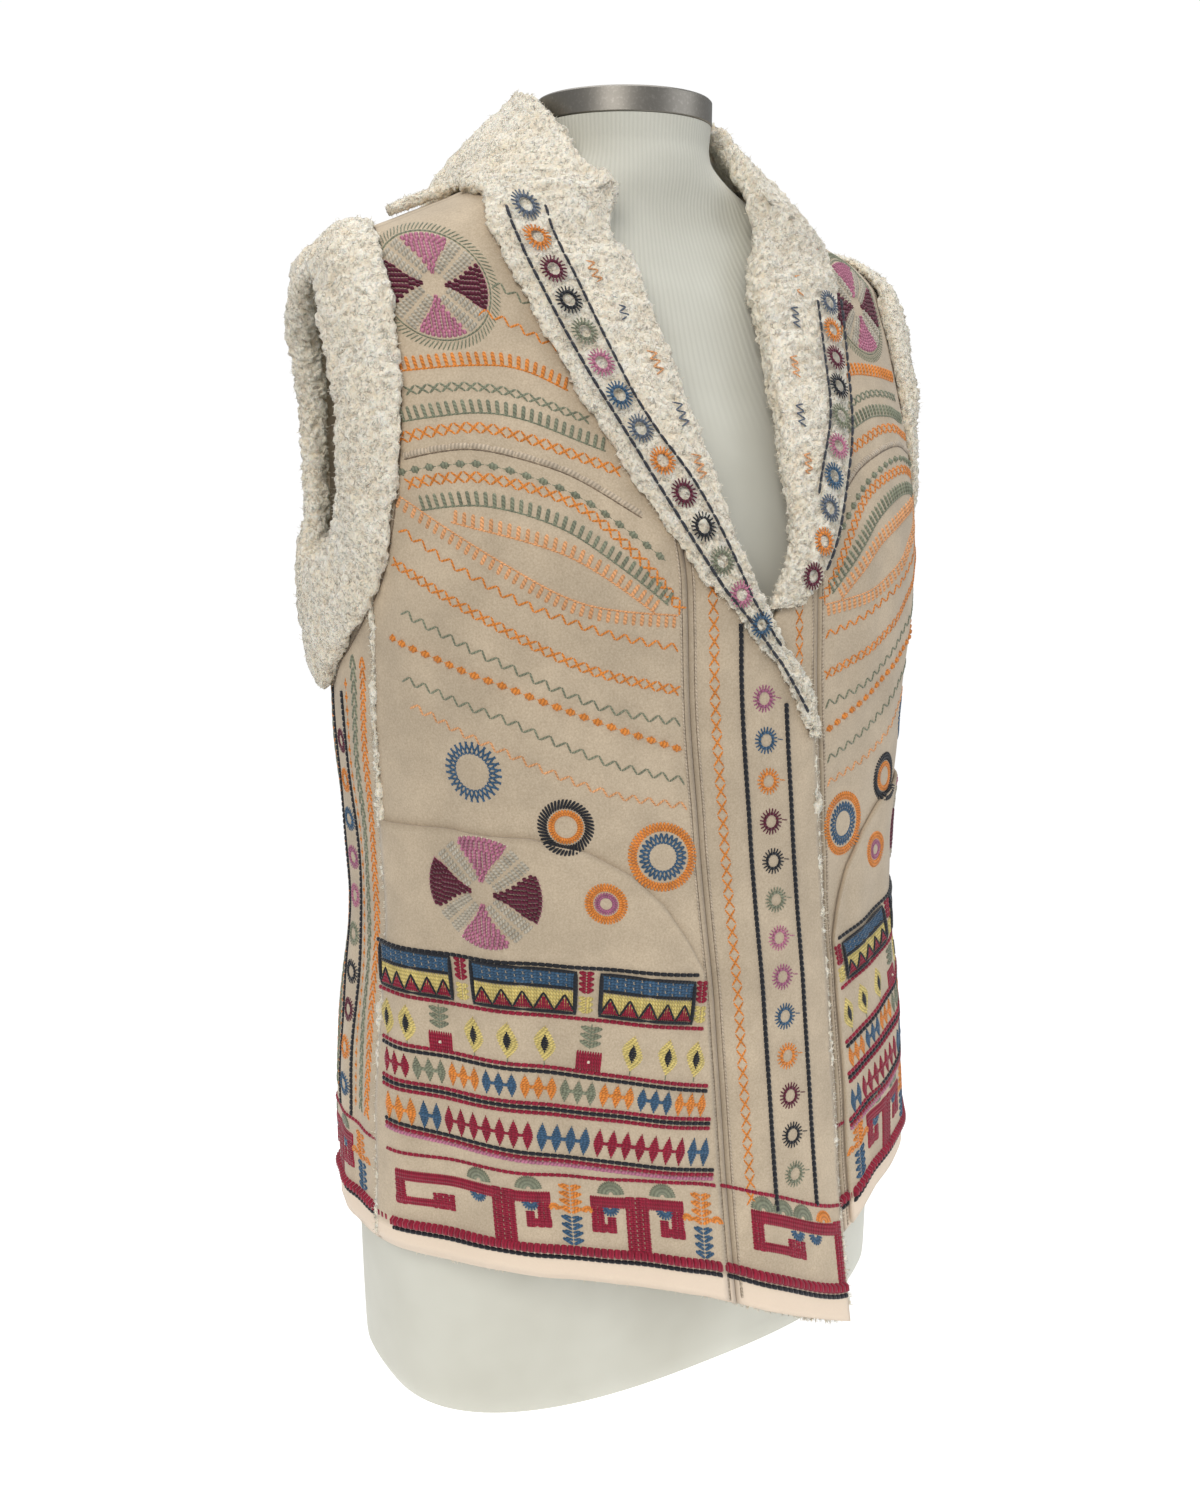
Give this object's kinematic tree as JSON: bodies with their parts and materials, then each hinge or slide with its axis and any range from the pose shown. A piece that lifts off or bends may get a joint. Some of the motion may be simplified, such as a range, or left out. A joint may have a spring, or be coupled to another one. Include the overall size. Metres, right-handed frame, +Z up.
{
  "type": "folk vest on a limbless dress form",
  "caption": "Sleeveless pile-lined suede folk vest with shawl collar, turned-out armbands and patch pockets, closed right over left on a limbless dress form with a steel neck cap.",
  "frame": {"origin": "centre of the dress form's flat underside, on the surface it stands on", "axes": "+Z up, -Y towards the front of the vest, +X towards the wearer's left"},
  "size_m": [0.4308, 0.3192, 0.8112],
  "materials": {
    "suede": "beige napped suede cloth with embroidery",
    "pile": "cream curly pile",
    "jersey": "grey-white ribbed jersey",
    "steel": "brushed, warm grey"
  },
  "bodies": {
    "root": {"form_torso": "jersey", "neck_cap": "steel", "back": "suede", "front_right": "suede", "band_right": "suede", "side_right": "suede", "pocket_right": "suede", "collar_right": "pile", "armband_right": "pile", "shoulder_roll_right": "pile", "front_left": "suede", "band_left": "suede", "side_left": "suede", "pocket_left": "suede", "collar_left": "pile", "armband_left": "pile", "shoulder_roll_left": "pile"}
  },
  "joints": []
}
